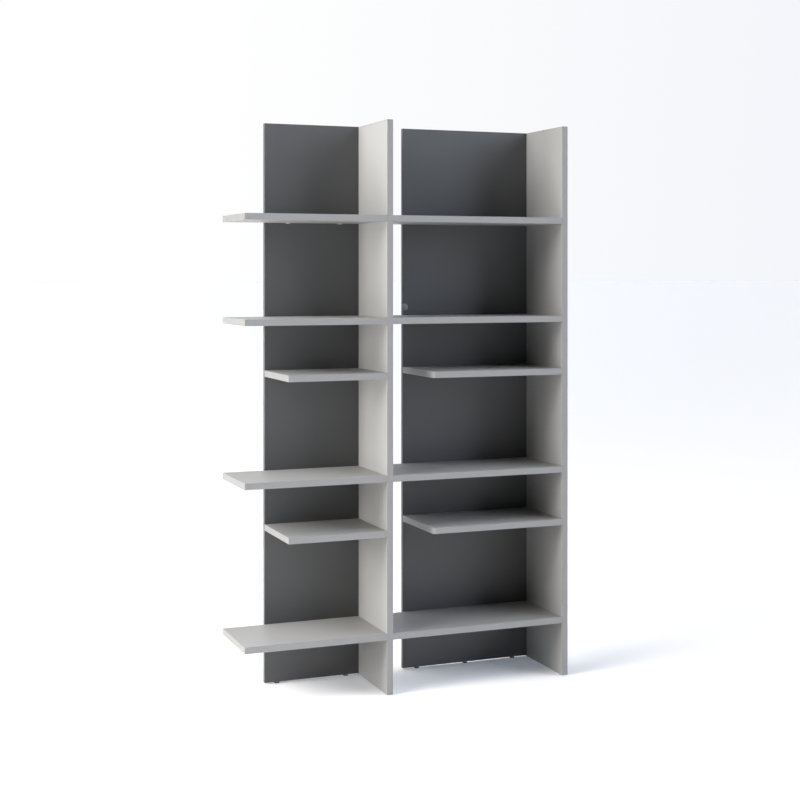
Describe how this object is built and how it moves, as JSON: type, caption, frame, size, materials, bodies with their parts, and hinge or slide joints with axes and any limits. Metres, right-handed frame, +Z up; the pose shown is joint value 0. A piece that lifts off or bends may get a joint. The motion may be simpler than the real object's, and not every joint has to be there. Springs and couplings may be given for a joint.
{
  "type": "open bookcase",
  "caption": "Tall open bookcase of light-grey boards: shelves of two lengths step past dark back panels between full-height uprights, on levelling feet.",
  "frame": {"origin": "on the floor, under the middle of the outline", "axes": "+X to the viewer's right, +Y from the front to the back, +Z up"},
  "size_m": [1.192, 0.3, 1.962],
  "materials": {
    "light_grey_laminate": "matt melamine on chipboard",
    "graphite_laminate": "matt melamine on chipboard",
    "grey_edging": "matt edge band",
    "graphite_edging": "matt edge band",
    "beech": "planed",
    "grey_plastic": "satin moulded",
    "steel": "zinc plated",
    "black_plastic": "moulded"
  },
  "bodies": {
    "case": {"middle_upright": "light_grey_laminate", "right_upright": "light_grey_laminate", "left_back_panel": "graphite_laminate", "right_back_panel": "graphite_laminate", "left_long_shelf_1": "light_grey_laminate", "right_long_shelf_1": "light_grey_laminate", "left_long_shelf_2": "light_grey_laminate", "right_long_shelf_2": "light_grey_laminate", "left_long_shelf_3": "light_grey_laminate", "right_long_shelf_3": "light_grey_laminate", "left_long_shelf_4": "light_grey_laminate", "right_long_shelf_4": "light_grey_laminate", "left_short_shelf_1": "light_grey_laminate", "right_short_shelf_1": "light_grey_laminate", "left_short_shelf_2": "light_grey_laminate", "right_short_shelf_2": "light_grey_laminate", "middle_upright_edging": "grey_edging", "right_upright_edging": "grey_edging", "left_back_panel_edging": "graphite_edging", "right_back_panel_edging": "graphite_edging", "left_long_shelf_1_edging": "grey_edging", "right_long_shelf_1_edging": "grey_edging", "left_long_shelf_2_edging": "grey_edging", "right_long_shelf_2_edging": "grey_edging", "left_long_shelf_3_edging": "grey_edging", "right_long_shelf_3_edging": "grey_edging", "left_long_shelf_4_edging": "grey_edging", "right_long_shelf_4_edging": "grey_edging", "left_short_shelf_1_edging": "grey_edging", "right_short_shelf_1_edging": "grey_edging", "left_short_shelf_2_edging": "grey_edging", "right_short_shelf_2_edging": "grey_edging", "shelf_end_tongues": "beech", "short_shelf_tongues": "beech", "panel_tongues": "beech", "panel_connectors": "grey_plastic", "connector_bolts": "steel", "panel_edge_cap": "grey_plastic", "upright_glides": "black_plastic"},
    "left_foot_1_pad": {"left_foot_pad_1": "black_plastic"},
    "left_foot_1_screw": {"left_foot_screw_1": "steel"},
    "left_foot_2_pad": {"left_foot_pad_2": "black_plastic"},
    "left_foot_2_screw": {"left_foot_screw_2": "steel"},
    "right_foot_1_pad": {"right_foot_pad_1": "black_plastic"},
    "right_foot_1_screw": {"right_foot_screw_1": "steel"},
    "right_foot_2_pad": {"right_foot_pad_2": "black_plastic"},
    "right_foot_2_screw": {"right_foot_screw_2": "steel"},
    "right_foot_3_pad": {"right_foot_pad_3": "black_plastic"},
    "right_foot_3_screw": {"right_foot_screw_3": "steel"}
  },
  "joints": [
    {"name": "left_foot_1_slide", "type": "slide", "parent": "case", "child": "left_foot_1_pad", "axis": [0, 0, -1], "range_m": [0, 0.01]},
    {"name": "left_foot_1_turn", "type": "hinge", "parent": "left_foot_1_pad", "child": "left_foot_1_screw", "pos_m": [-0.399, 0.142, 0.0034], "axis": [0, 0, -1], "range_deg": [0, 3600]},
    {"name": "left_foot_2_slide", "type": "slide", "parent": "case", "child": "left_foot_2_pad", "axis": [0, 0, -1], "range_m": [0, 0.01]},
    {"name": "left_foot_2_turn", "type": "hinge", "parent": "left_foot_2_pad", "child": "left_foot_2_screw", "pos_m": [-0.143, 0.142, 0.0034], "axis": [0, 0, -1], "range_deg": [0, 3600]},
    {"name": "right_foot_1_slide", "type": "slide", "parent": "case", "child": "right_foot_1_pad", "axis": [0, 0, -1], "range_m": [0, 0.01]},
    {"name": "right_foot_1_turn", "type": "hinge", "parent": "right_foot_1_pad", "child": "right_foot_1_screw", "pos_m": [0.131, 0.142, 0.0034], "axis": [0, 0, -1], "range_deg": [0, 3600]},
    {"name": "right_foot_2_slide", "type": "slide", "parent": "case", "child": "right_foot_2_pad", "axis": [0, 0, -1], "range_m": [0, 0.01]},
    {"name": "right_foot_2_turn", "type": "hinge", "parent": "right_foot_2_pad", "child": "right_foot_2_screw", "pos_m": [0.324, 0.142, 0.0034], "axis": [0, 0, -1], "range_deg": [0, 3600]},
    {"name": "right_foot_3_slide", "type": "slide", "parent": "case", "child": "right_foot_3_pad", "axis": [0, 0, -1], "range_m": [0, 0.01]},
    {"name": "right_foot_3_turn", "type": "hinge", "parent": "right_foot_3_pad", "child": "right_foot_3_screw", "pos_m": [0.517, 0.142, 0.0034], "axis": [0, 0, -1], "range_deg": [0, 3600]}
  ],
  "couplings": [
    {"joint": "left_foot_1_turn", "follows": "left_foot_1_slide", "rad_per_m": 6283.2},
    {"joint": "left_foot_2_turn", "follows": "left_foot_2_slide", "rad_per_m": 6283.2},
    {"joint": "right_foot_1_turn", "follows": "right_foot_1_slide", "rad_per_m": 6283.2},
    {"joint": "right_foot_2_turn", "follows": "right_foot_2_slide", "rad_per_m": 6283.2},
    {"joint": "right_foot_3_turn", "follows": "right_foot_3_slide", "rad_per_m": 6283.2}
  ]
}
